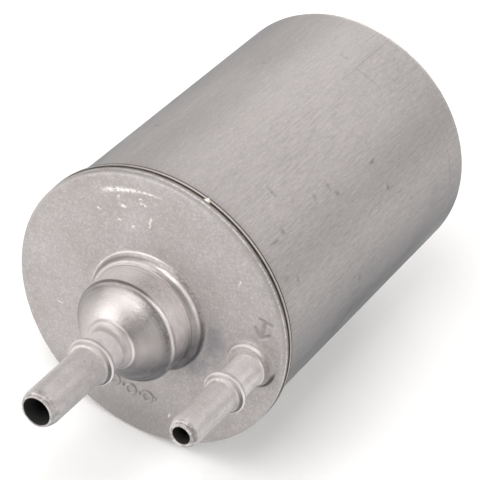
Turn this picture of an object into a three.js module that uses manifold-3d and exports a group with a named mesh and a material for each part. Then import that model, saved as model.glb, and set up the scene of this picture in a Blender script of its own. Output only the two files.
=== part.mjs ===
// Inline fuel filter with a built-in pressure regulator.
// Millimetres, +Z up. The filter's axis is Y: the cover with the inlet and return spouts faces -Y,
// the outlet spout leaves the closed end towards +Y, and the inlet spout stands off the axis along +X.
// The origin is on the axis, halfway along the can, where a band clamp holds the filter.

import * as THREE from 'three';
import { mergeVertices } from 'three/addons/utils/BufferGeometryUtils.js';
import Module from 'manifold-3d';

const wasm = await Module();
wasm.setup();

// ---- driving dimensions ----

const BODY_LENGTH = 97.2;     // cover face to closed end
const CAN_RADIUS = 35.2;
const CAN_WALL = 1.2;
const CAN_END_WALL = 1.5;
const CAN_CORNER = 3.0;       // outside radius of the closed end's corner
const LIP_RADIUS = 36.6;      // turned-out lip that the cover is welded to
const LIP_THICKNESS = 1.3;

const COVER_RADIUS = 36.5;
const COVER_THICKNESS = 2.8;
const COVER_EDGE = 0.9;       // rounding of the cover's front edge
const GAP = 0.3;              // clearance between pieces that rest on each other

const BOSS_RADIUS = 13.4;     // regulator housing raised from the cover
const BOSS_BORE = 11.6;
const BOSS_WALL = 1.8;
const BOSS_SHOULDER = 1.3;    // rounding between the boss wall and its dome
const BOSS_SHOULDER_HEIGHT = 9.1;
const DOME = { centreRadius: 0.96, centreHeight: 3.2, radius: 13.7 };
const SKIRT_RADIUS = 13.4;    // the bore's wall carried on behind the cover
const SKIRT_DEPTH = 8.2;

const INLET_OFFSET = 29.1;    // inlet spout's distance from the filter's axis
const COLLAR_RADIUS = 5.8;    // raised collar at the foot of the two smaller spouts
const COLLAR_HEIGHT = 2.5;

// Spout ends for quick connectors: 5/16 inch (7.89 mm) and 3/8 inch (9.49 mm).
const SMALL_SPOUT = { tube: 3.945, bore: 2.4, neck: 4.2, bead: 5.4, beadHeight: 13.0, height: 31.8, nose: 3.1 };
const LARGE_SPOUT = { tube: 4.745, bore: 3.4, neck: 4.95, bead: 6.2, beadHeight: 24.2, height: 46.1, nose: 4.0 };
const BEAD_WIDTH = 2.0;
const NOSE_LENGTH = 1.9;

const ELEMENT_FRONT = 15.0;   // depth of the element's front end disc behind the cover face
const ELEMENT_REAR = 89.0;
const ELEMENT_RADIUS = 32.4;
const DISC_THICKNESS = 1.0;
const PLEATS = 24;
const PAPER = 0.8;
const PLEAT_OUTER = 31.0;
const PLEAT_INNER = 14.0;
const CENTRE_TUBE_RADIUS = 12.2;

const VALVE_LIFT = 0.8;       // travel of the regulator's valve seat

const FACE_Y = -BODY_LENGTH / 2;
const END_Y = BODY_LENGTH / 2;
const ROUND = 36;             // facets of a large turned piece
const FINE = 20;              // facets of a small one

// ---- materials ----

const metal = (color, roughness) => new THREE.MeshStandardMaterial({ color, roughness, metalness: 1 });
const matt = (color, roughness) => new THREE.MeshStandardMaterial({ color, roughness, metalness: 0 });
const brushedAluminium = () => metal(0xb9b3ad, 0.38);
const blastedAluminium = () => metal(0xb4aea8, 0.5);
const turnedAluminium = () => metal(0xc2bcb6, 0.28);
const weldMetal = () => metal(0x7d746a, 0.45);
const steel = () => metal(0x9a9a98, 0.35);
const springSteel = () => metal(0x8a8a8a, 0.3);
const rubber = () => matt(0x1d1d1f, 0.75);
const paper = () => matt(0xd8b878, 0.9);
const nylon = () => matt(0x2a2c2e, 0.55);

// ---- shape helpers ----

// Points on a circular arc, angles in degrees from the outward radial direction.
function arc(centreRadius, centreHeight, radius, from, to, steps) {
  const points = [];
  for (let i = 0; i <= steps; i += 1) {
    const angle = THREE.MathUtils.degToRad(from + ((to - from) * i) / steps);
    points.push([centreRadius + radius * Math.cos(angle), centreHeight + radius * Math.sin(angle)]);
  }
  return points;
}

// Heights above the cover face, turned into places along the filter's axis.
const fromFace = (profile) => profile.map(([radius, height]) => [radius, FACE_Y - height]);
// Heights above the closed end, measured the other way.
const fromEnd = (profile) => profile.map(([radius, height]) => [radius, END_Y + height]);

function signedArea(profile) {
  let area = 0;
  profile.forEach(([x0, y0], i) => {
    const [x1, y1] = profile[(i + 1) % profile.length];
    area += (x0 * y1 - x1 * y0) / 2;
  });
  return area;
}

// Turns a closed outline of [radius, y] points about the filter's axis.
function turned(outline, facets = ROUND) {
  const ordered = signedArea(outline) > 0 ? outline : [...outline].reverse();
  const onAxis = ordered.findIndex(([r], i) => r === 0 && ordered.at(i - 1)[0] === 0);
  const start = Math.max(onAxis, 0);
  const loop = [...ordered.slice(start), ...ordered.slice(0, start)];
  const closed = onAxis < 0 ? [...loop, loop[0]] : loop;
  return new THREE.LatheGeometry(closed.map(([r, y]) => new THREE.Vector2(r, y)), facets);
}

function toSolid(geometry) {
  const bare = geometry.index ? geometry.clone() : geometry;
  bare.deleteAttribute('normal');
  bare.deleteAttribute('uv');
  const merged = mergeVertices(bare, 1e-4);
  const index = merged.index.array;
  const corners = [];
  for (let i = 0; i < index.length; i += 3) {
    const [a, b, c] = [index[i], index[i + 1], index[i + 2]];
    if (a !== b && b !== c && c !== a) corners.push(a, b, c);
  }
  const vertProperties = new Float32Array(merged.attributes.position.array);
  return new wasm.Manifold(new wasm.Mesh({ numProp: 3, vertProperties, triVerts: new Uint32Array(corners) }));
}

function toGeometry(solid) {
  const mesh = solid.getMesh();
  const geometry = new THREE.BufferGeometry();
  geometry.setAttribute('position', new THREE.BufferAttribute(mesh.vertProperties, 3));
  geometry.setIndex(new THREE.BufferAttribute(mesh.triVerts, 1));
  geometry.computeVertexNormals();
  return geometry;
}

function cutAway(geometry, cutters) {
  return toGeometry(cutters.reduce((solid, cutter) => solid.subtract(toSolid(cutter)), toSolid(geometry)));
}

const filter = new THREE.Group();

function add(name, geometry, material) {
  const mesh = new THREE.Mesh(geometry, material);
  mesh.name = name;
  filter.add(mesh);
}

// ---- can, cover and weld ----

// Raised collar round a small spout's hole, as a radius and height outline above the face it stands on.
function collarOutline(bore, depth) {
  return [
    [bore, -depth],
    [COLLAR_RADIUS + 0.5, -depth],
    [COLLAR_RADIUS + 0.5, 0],
    [COLLAR_RADIUS, 0.5],
    [COLLAR_RADIUS, 1.3],
    [COLLAR_RADIUS - 0.5, 2.1],
    [COLLAR_RADIUS - 1.1, COLLAR_HEIGHT],
    [bore, COLLAR_HEIGHT],
  ];
}

function coverGeometry() {
  const boss = [
    [COVER_RADIUS - 0.6, -COVER_THICKNESS],
    [COVER_RADIUS, 0.6 - COVER_THICKNESS],
    ...arc(COVER_RADIUS - COVER_EDGE, -COVER_EDGE, COVER_EDGE, 0, 90, 3),
    [16.2, 0],
    [15.5, 0.6],
    ...arc(14.5, 1.2, 0.9, 0, 90, 2),
    [13.7, 2.0],
    [BOSS_RADIUS + 0.15, 2.4],
    ...arc(BOSS_RADIUS - BOSS_SHOULDER, BOSS_SHOULDER_HEIGHT, BOSS_SHOULDER, 0, 31, 1),
    ...arc(DOME.centreRadius, DOME.centreHeight, DOME.radius, 31, 71.5, 5),
  ];
  const bore = [
    ...arc(DOME.centreRadius, DOME.centreHeight, DOME.radius - BOSS_WALL, 68.5, 26.6, 4),
    [BOSS_BORE, -5.3],
    [BOSS_BORE + 0.9, -5.3],
    [BOSS_BORE + 0.9, -6.9],
    [BOSS_BORE, -6.9],
    [BOSS_BORE, -SKIRT_DEPTH],
    [SKIRT_RADIUS + 0.6, -SKIRT_DEPTH],
    [SKIRT_RADIUS + 0.6, -COVER_THICKNESS],
  ];
  const plate = turned(fromFace([...boss, ...bore]));
  const hole = SMALL_SPOUT.neck + GAP;
  const collar = turned(fromFace(collarOutline(hole - 0.5, 1)), FINE);
  collar.translate(INLET_OFFSET, 0, 0);
  const drill = new THREE.CylinderGeometry(hole, hole, 12, FINE);
  drill.translate(INLET_OFFSET, FACE_Y, 0);
  return toGeometry(toSolid(plate).add(toSolid(collar)).subtract(toSolid(drill)));
}

function canGeometry() {
  const lipFront = FACE_Y + COVER_THICKNESS + GAP;
  const lipRear = lipFront + LIP_THICKNESS;
  const inside = CAN_RADIUS - CAN_WALL;
  const collar = collarOutline(SMALL_SPOUT.neck + GAP, CAN_END_WALL).slice(2, -1);
  return turned([
    [inside, lipFront],
    [LIP_RADIUS - 0.5, lipFront],
    [LIP_RADIUS, lipFront + 0.5],
    [LIP_RADIUS, lipRear - 0.2],
    [LIP_RADIUS - 0.3, lipRear],
    [CAN_RADIUS + 0.3, lipRear],
    [CAN_RADIUS, lipRear + 0.4],
    ...arc(CAN_RADIUS - CAN_CORNER, END_Y - CAN_CORNER, CAN_CORNER, 0, 90, 5),
    ...fromEnd(collar),
    [SMALL_SPOUT.neck + GAP, END_Y + COLLAR_HEIGHT],
    [SMALL_SPOUT.neck + GAP, END_Y - CAN_END_WALL],
    ...arc(CAN_RADIUS - CAN_CORNER, END_Y - CAN_CORNER, CAN_CORNER - CAN_END_WALL, 90, 0, 3),
    [inside, END_Y - CAN_CORNER - 2],
  ]);
}

// The weld fills the groove between the cover's rear edge and the lip's front edge.
function weldGeometry() {
  const height = -COVER_THICKNESS - GAP / 2;
  const middle = LIP_RADIUS - 0.1;
  return turned(fromFace([[middle - 0.3, height], [middle, height + 0.35], [middle + 0.25, height],
    [middle, height - 0.35]]));
}

// ---- spouts ----

// A spout standing on a face at height 0: a swaged foot inside, neck, bead, tube and tapered nose.
function spoutOutline(spout, footRadius, footTop, footBottom, snout) {
  const beadRear = spout.beadHeight - BEAD_WIDTH / 2;
  const beadFront = spout.beadHeight + BEAD_WIDTH / 2;
  return [
    [spout.bore, snout],
    [spout.neck, snout],
    [spout.neck, footBottom],
    [footRadius, footBottom],
    [footRadius, footTop],
    [spout.neck, footTop],
    [spout.neck, beadRear - 0.5],
    [spout.bead - 0.4, beadRear],
    [spout.bead, beadRear + 0.6],
    [spout.bead, beadFront - 0.5],
    [spout.bead - 0.4, beadFront],
    [spout.tube, beadFront + 0.1],
    [spout.tube, spout.height - NOSE_LENGTH],
    [spout.nose + 0.35, spout.height - 0.3],
    [spout.nose, spout.height],
    [spout.bore, spout.height],
  ];
}

function inletSpout() {
  const geometry = turned(fromFace(spoutOutline(SMALL_SPOUT, 4.65, -3.1, -4.1, -5.0)), FINE);
  geometry.translate(INLET_OFFSET, 0, 0);
  return geometry;
}

const returnSpout = () => turned(fromFace(spoutOutline(LARGE_SPOUT, 7.0, 13.0, 10.3, 10.0)), FINE);
const outletSpout = () => turned(
  fromEnd(spoutOutline(SMALL_SPOUT, 8.0, -CAN_END_WALL - GAP, -3.2, -7.0)), FINE);

// ---- filter element ----

const polar = (radius, angle) => new THREE.Vector2(radius * Math.cos(angle), radius * Math.sin(angle));

// One side of the folded paper: an outer fold, a flank, an inner fold and the flank back, for each pleat.
function foldedOutline(outer, outerHalfWidth, inner, flankAtInner) {
  const points = [];
  const pitch = (2 * Math.PI) / PLEATS;
  for (let i = 0; i < PLEATS; i += 1) {
    const middle = i * pitch;
    const outerHalf = outerHalfWidth / outer;
    const innerHalf = flankAtInner / inner;
    points.push(polar(outer, middle - outerHalf), polar(outer, middle + outerHalf));
    points.push(polar(inner, middle + innerHalf), polar(inner, middle + pitch - innerHalf));
  }
  return points;
}

// Extrudes a shape drawn across the filter's axis, from one depth behind the cover face to another.
function acrossAxis(shape, frontDepth, rearDepth) {
  const geometry = new THREE.ExtrudeGeometry(shape, { depth: rearDepth - frontDepth, bevelEnabled: false });
  geometry.rotateX(Math.PI / 2);
  geometry.translate(0, FACE_Y + rearDepth, 0);
  return geometry;
}

function mediaGeometry() {
  const shape = new THREE.Shape(foldedOutline(PLEAT_OUTER, 1.3, PLEAT_INNER + PAPER, 1.5));
  const inside = foldedOutline(PLEAT_OUTER - PAPER, 1.3 - PAPER, PLEAT_INNER, 0.7);
  shape.holes.push(new THREE.Path(inside.reverse()));
  return acrossAxis(shape, ELEMENT_FRONT + DISC_THICKNESS + GAP, ELEMENT_REAR - DISC_THICKNESS - GAP);
}

function centreTubeGeometry() {
  const front = FACE_Y + ELEMENT_FRONT + DISC_THICKNESS + GAP;
  const rear = FACE_Y + ELEMENT_REAR - DISC_THICKNESS - GAP;
  const inner = CENTRE_TUBE_RADIUS - 1.0;
  const outline = [[inner, front], [CENTRE_TUBE_RADIUS, front], [CENTRE_TUBE_RADIUS, rear], [inner, rear]];
  const slots = [];
  for (let row = 0; row < 4; row += 1) {
    for (let column = 0; column < 3; column += 1) {
      const slot = new THREE.BoxGeometry(2 * CENTRE_TUBE_RADIUS + 4, 11, 3);
      slot.rotateY(((column + (row % 2) / 2) * Math.PI) / 3);
      slot.translate(0, front + 10 + row * 17, 0);
      slots.push(slot);
    }
  }
  return cutAway(turned(outline, 24), slots);
}

function frontDisc() {
  const rim = ELEMENT_RADIUS;
  return turned(fromFace([
    [0, -ELEMENT_FRONT], [0, -ELEMENT_FRONT - DISC_THICKNESS],
    [rim - DISC_THICKNESS, -ELEMENT_FRONT - DISC_THICKNESS], [rim - DISC_THICKNESS, -ELEMENT_FRONT - 5],
    [rim, -ELEMENT_FRONT - 5], [rim, -ELEMENT_FRONT],
  ]));
}

function rearDisc() {
  const rim = ELEMENT_RADIUS;
  const neckInside = 7.4;
  const neckOutside = 8.2;
  return turned(fromFace([
    [neckInside, -ELEMENT_REAR + DISC_THICKNESS], [neckInside, -ELEMENT_REAR - 3.6],
    [neckOutside, -ELEMENT_REAR - 3.6], [neckOutside, -ELEMENT_REAR], [rim, -ELEMENT_REAR],
    [rim, -ELEMENT_REAR + 5], [rim - DISC_THICKNESS, -ELEMENT_REAR + 5],
    [rim - DISC_THICKNESS, -ELEMENT_REAR + DISC_THICKNESS],
  ]));
}

// A castellated ring keeps the element off the cover and lets fuel spread round it.
function spacerGeometry() {
  const outer = 23.0;
  const inner = 21.4;
  const front = -COVER_THICKNESS - GAP;
  const rear = -ELEMENT_FRONT + GAP;
  const ring = turned(fromFace([[inner, front], [outer, front], [outer, rear], [inner, rear]]), 24);
  const windows = [];
  for (let i = 0; i < 3; i += 1) {
    const window = new THREE.BoxGeometry(2 * outer + 4, 6.4, 12);
    window.rotateY((i * Math.PI) / 3);
    window.translate(0, FACE_Y - front + 3.0, 0);
    windows.push(window);
  }
  return cutAway(ring, windows);
}

function oRing(radius, section, y, facets = 24) {
  return turned(arc(radius, y, section, 0, 315, 7), facets);
}

// ---- pressure regulator ----

// Round wire wound into a helix about the filter's axis, between two heights above the cover face.
class Helix extends THREE.Curve {
  constructor(radius, bottom, top, turns) {
    super();
    Object.assign(this, { radius, bottom, top, turns });
  }

  getPoint(t, target = new THREE.Vector3()) {
    const angle = 2 * Math.PI * this.turns * t;
    const height = this.bottom + (this.top - this.bottom) * t;
    return target.set(this.radius * Math.cos(angle), FACE_Y - height, this.radius * Math.sin(angle));
  }
}

function coil(radius, wire, bottom, top, turns, stepsPerTurn, sides) {
  const section = new THREE.Shape();
  for (let i = 0; i < sides; i += 1) {
    const angle = (2 * Math.PI * i) / sides;
    const [x, y] = [wire * Math.cos(angle), wire * Math.sin(angle)];
    if (i === 0) section.moveTo(x, y);
    else section.lineTo(x, y);
  }
  const path = new Helix(radius, bottom, top, turns);
  return new THREE.ExtrudeGeometry(section, { steps: Math.round(turns * stepsPerTurn), extrudePath: path });
}

function upperCup() {
  return turned(fromFace([
    [3.0, 8.0], [7.6, 8.0], [8.4, 7.2], [8.4, -0.9], [10.9, -0.9], [10.9, -1.7],
    [7.6, -1.7], [7.6, 6.9], [7.3, 7.2], [3.0, 7.2],
  ]), 24);
}

// Drills for a circle of equal holes, parallel to the filter's axis, through a floor behind the cover face.
function holesRound(count, circle, radius, depth, facets) {
  const drills = [];
  for (let i = 0; i < count; i += 1) {
    const place = polar(circle, (2 * Math.PI * i) / count);
    const drill = new THREE.CylinderGeometry(radius, radius, 3, facets);
    drills.push(drill.translate(place.x, FACE_Y + depth, place.y));
  }
  return drills;
}

function lowerCup() {
  const cup = turned(fromFace([
    [10.9, -2.8], [10.9, -3.6], [8.6, -3.6], [8.6, -10.8], [7.8, -11.6], [0, -11.6],
    [0, -10.8], [7.4, -10.8], [7.8, -10.4], [7.8, -2.8],
  ]), 24);
  return cutAway(cup, holesRound(6, 5.7, 1.1, 11.2, 10));
}

// A thin disc with one rolled convolution, clamped at its rim and pierced for the valve seat.
const diaphragm = () => turned(fromFace([
  [2.4, -2.05], [5.6, -2.05], [6.5, -1.75], [7.3, -2.05], [10.6, -2.05],
  [10.6, -2.45], [7.5, -2.45], [6.5, -2.15], [5.4, -2.45], [2.4, -2.45],
]), 24);

const valveSeat = () => turned(fromFace([
  [1.1, -0.2], [1.8, -0.2], [2.0, -0.5], [2.0, -2.75], [5.0, -2.75], [5.0, -3.4],
  [2.6, -3.4], [2.2, -4.5], [1.1, -4.5],
]), FINE);

const springSeat = () => turned(fromFace([
  [2.3, -1.75], [5.3, -1.75], [6.6, -1.2], [6.6, -0.7], [5.9, -0.7], [5.2, -1.1],
  [3.6, -1.1], [3.4, 0.9], [2.8, 0.9], [2.3, -1.1],
]), FINE);

const ballCage = () => turned(fromFace([
  [1.85, -5.0], [3.3, -5.0], [3.6, -9.6], [3.6, -10.5], [0, -10.5], [0, -9.8], [1.85, -9.8],
]), FINE);

function strainer() {
  const dish = turned(fromFace([
    [0, -11.9], [0, -12.5], [9.0, -12.5], [9.6, -11.9], [9.6, -9.0], [8.95, -9.0], [8.95, -11.7], [8.75, -11.9],
  ]), 24);
  return cutAway(dish, holesRound(6, 5.7, 1.9, 12.2, 8));
}

const clampRing = () => turned(fromFace([[9.2, -3.9], [11.3, -3.9], [11.3, -5.1], [9.2, -5.1]]), 24);

// A split ring sprung into the groove of the boss's bore.
function retainingRing() {
  const outer = BOSS_BORE + 0.6;
  const inner = BOSS_BORE - 1.4;
  const opening = THREE.MathUtils.degToRad(12);
  const shape = new THREE.Shape();
  shape.absarc(0, 0, outer, opening, 2 * Math.PI - opening, false);
  shape.absarc(0, 0, inner, 2 * Math.PI - opening, opening, true);
  return acrossAxis(shape, 5.6, 6.6);
}

// ---- assembly ----

add('can', canGeometry(), brushedAluminium());
add('front_cover', coverGeometry(), blastedAluminium());
add('weld_seam', weldGeometry(), weldMetal());
add('inlet_spout', inletSpout(), turnedAluminium());
add('return_spout', returnSpout(), turnedAluminium());
add('outlet_spout', outletSpout(), turnedAluminium());

add('filter_media', mediaGeometry(), paper());
add('centre_tube', centreTubeGeometry(), nylon());
add('front_end_disc', frontDisc(), steel());
add('rear_end_disc', rearDisc(), steel());
add('element_spacer', spacerGeometry(), nylon());
add('outlet_seal', oRing(5.8, 1.2, FACE_Y + 91.2), rubber());

add('regulator_upper_cup', upperCup(), steel());
add('regulator_lower_cup', lowerCup(), steel());
add('regulator_diaphragm', diaphragm(), rubber());
add('regulator_valve_seat', valveSeat(), steel());
add('regulator_spring_seat', springSeat(), steel());
add('regulator_spring', coil(5.0, 0.55, 0.1, 6.3, 4.5, 12, 6), springSteel());
add('regulator_ball', new THREE.SphereGeometry(1.5, 14, 10).translate(0, FACE_Y + 5.8, 0), steel());
add('regulator_ball_cage', ballCage(), steel());
add('regulator_ball_spring', coil(1.1, 0.17, -9.3, -7.6, 3, 10, 5), springSteel());
add('regulator_strainer', strainer(), nylon());
add('regulator_body_seal', oRing(10.0, 1.25, FACE_Y - 0.65), rubber());
add('regulator_outlet_seal', oRing(5.6, 0.7, FACE_Y - 9.15, FINE), rubber());
add('regulator_clamp_ring', clampRing(), steel());
add('retaining_ring', retainingRing(), springSteel());

export default filter;
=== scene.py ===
import math

import bmesh
import bpy
from mathutils import Matrix, Vector, noise


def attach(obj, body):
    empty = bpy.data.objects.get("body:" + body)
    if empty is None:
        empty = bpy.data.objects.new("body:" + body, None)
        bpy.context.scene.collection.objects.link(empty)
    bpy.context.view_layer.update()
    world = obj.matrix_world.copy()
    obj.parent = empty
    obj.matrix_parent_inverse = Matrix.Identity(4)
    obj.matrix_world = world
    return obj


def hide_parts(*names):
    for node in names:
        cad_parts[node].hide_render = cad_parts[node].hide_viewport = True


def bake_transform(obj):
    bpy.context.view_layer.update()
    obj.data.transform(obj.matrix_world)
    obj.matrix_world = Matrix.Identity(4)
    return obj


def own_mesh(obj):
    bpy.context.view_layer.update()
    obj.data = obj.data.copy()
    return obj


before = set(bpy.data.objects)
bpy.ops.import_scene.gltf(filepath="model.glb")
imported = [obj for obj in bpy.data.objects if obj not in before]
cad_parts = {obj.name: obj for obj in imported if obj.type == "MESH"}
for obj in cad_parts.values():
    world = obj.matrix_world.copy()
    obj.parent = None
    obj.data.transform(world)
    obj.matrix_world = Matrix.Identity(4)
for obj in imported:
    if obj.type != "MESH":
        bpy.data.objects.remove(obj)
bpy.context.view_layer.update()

# Lengths are in millimetres and turned to metres by MM. Heights are measured outwards from the cover's face.
MM = 0.001
FACE_Y = -48.6                   # the cover's flat face, along the axis
END_Y = 48.6                     # the can's closed end
INLET_X = 29.1                   # the side spout's distance from the axis
COLLAR_X = 28.55                 # middle of the collar round the side spout, slightly off the spout's axis
RIM_R = 36.5                     # cover
CAN_R = 35.2
CAN_INSIDE_R = 34.0
CAN_END_WALL = 1.5
CAN_CORNER = 2.3                 # rounding of the closed end
LIP_R = 36.6                     # the can's turned-out lip
LIP_FRONT, LIP_REAR = FACE_Y + 3.1, FACE_Y + 4.35
SEAM_DEPTH = 2.95                # middle of the weld groove, behind the face
FLAT_IN, FLAT_OUT = 16.95, 35.7  # radii between which the cover's face is flat
NUGGET_ANGLE = math.radians(76)
NUGGET_X, NUGGET_Z = RIM_R * math.cos(NUGGET_ANGLE), RIM_R * math.sin(NUGGET_ANGLE)

scene = bpy.context.scene


# ---------------------------------------- small maths

def lerp(a, b, t):
    return a + (b - a) * t


def smooth(t):
    t = max(0.0, min(1.0, t))
    return t * t * (3 - 2 * t)


def hollow(distance, size, depth):
    """Depth of a round knock or dent at a distance from its middle."""
    d = distance / size
    return depth * (1 - d * d) ** 2 if d < 1 else 0.0


def angle_between(a, b):
    """Signed difference of two angles, between -pi and pi."""
    return (a - b + math.pi) % (2 * math.pi) - math.pi


def ripple(x, y, z):
    """Smooth noise at a point, roughly between -1 and 1."""
    return noise.noise(Vector((x, y, z)))


def arc(cr, ch, radius, a0, a1, steps):
    """Points on an arc, angles in degrees from the outward radial direction."""
    angles = [math.radians(lerp(a0, a1, i / steps)) for i in range(steps + 1)]
    return [(cr + radius * math.cos(a), ch + radius * math.sin(a)) for a in angles]


def rounded(points, steps):
    """Rounds the inner corners of an open outline of (radius, height, corner radius)."""
    out = [points[0][:2]]
    for i in range(1, len(points) - 1):
        wanted = points[i][2]
        p, before, after = (Vector(points[j][:2]) for j in (i, i - 1, i + 1))
        da, db = before - p, after - p
        la, lb = da.length, db.length
        da.normalize()
        db.normalize()
        half = math.acos(max(-1.0, min(1.0, da.dot(db)))) / 2
        if wanted <= 0 or abs(half - math.pi / 2) < 0.02:   # no rounding asked for, or no corner to round
            out.append(tuple(p))
            continue
        cut = min(wanted / math.tan(half), la * 0.48, lb * 0.48)
        radius = cut * math.tan(half)
        centre = p + (da + db).normalized() * (radius / math.sin(half))
        s, e = p + da * cut - centre, p + db * cut - centre
        turn = math.atan2(s.x * e.y - s.y * e.x, s.dot(e))
        start = math.atan2(s.y, s.x)
        for k in range(steps + 1):
            a = start + turn * k / steps
            out.append((centre.x + radius * math.cos(a), centre.y + radius * math.sin(a)))
    out.append(points[-1][:2])
    return out


def densify(points, longest):
    """Splits the long stretches of an outline so that no step is longer than asked."""
    out = [points[0]]
    for a, b in zip(points, points[1:]):
        n = max(1, math.ceil(math.dist(a, b) / longest))
        out += [(lerp(a[0], b[0], k / n), lerp(a[1], b[1], k / n)) for k in range(1, n + 1)]
    return out


def even_angles(count):
    return [2 * math.pi * i / count for i in range(count)]


def angles_with(fine_spans, fine_step, coarse_step):
    """Angles round the axis in degrees turned to radians, closer together inside the spans."""
    out, a = [], -180.0
    while a < 180 - 1e-6:
        out.append(math.radians(a))
        a += fine_step if any(lo <= a < hi for lo, hi in fine_spans) else coarse_step
    return out


# ---------------------------------------- mesh helpers

def ring_faces(rings, sides, closed=True):
    """Four-sided faces between rings of vertices that follow one another."""
    faces = []
    for i in range(rings if closed else rings - 1):
        a, b = i * sides, (i + 1) % rings * sides
        for k in range(sides):
            n = (k + 1) % sides
            faces.append([a + k, a + n, b + n, b + k])
    return faces


def revolve(outline, angles, shift, centre_x=0.0):
    """Vertices and faces of a closed outline of (radius, y), turned round the axis and shifted."""
    verts = [shift(centre_x + r * math.cos(a), y, r * math.sin(a)) for r, y in outline for a in angles]
    return verts, ring_faces(len(outline), len(angles))


def make_object(name, verts, faces, sharp=38.0):
    """An object smooth-shaded but for edges sharper than an angle in degrees."""
    mesh = bpy.data.meshes.new(name)
    mesh.from_pydata([(x * MM, y * MM, z * MM) for x, y, z in verts], [], faces)
    mesh.validate()
    mesh.update()
    bm = bmesh.new()
    bm.from_mesh(mesh)
    bmesh.ops.recalc_face_normals(bm, faces=bm.faces)
    bm.to_mesh(mesh)
    bm.free()
    mesh.polygons.foreach_set("use_smooth", [True] * len(mesh.polygons))
    mesh.set_sharp_from_angle(angle=math.radians(sharp))
    obj = bpy.data.objects.new(name, mesh)
    scene.collection.objects.link(obj)
    return obj


def place(obj, material, slot, *nodes, body="housing"):
    """Gives a piece its material, hides the CAD nodes it stands for and, if it has one, attaches it to its
    body; the slot is not used.
    """
    obj.data.materials.append(material)
    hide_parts(*nodes)
    if body:
        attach(obj, body)
    return obj


# ---------------------------------------- materials

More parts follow.
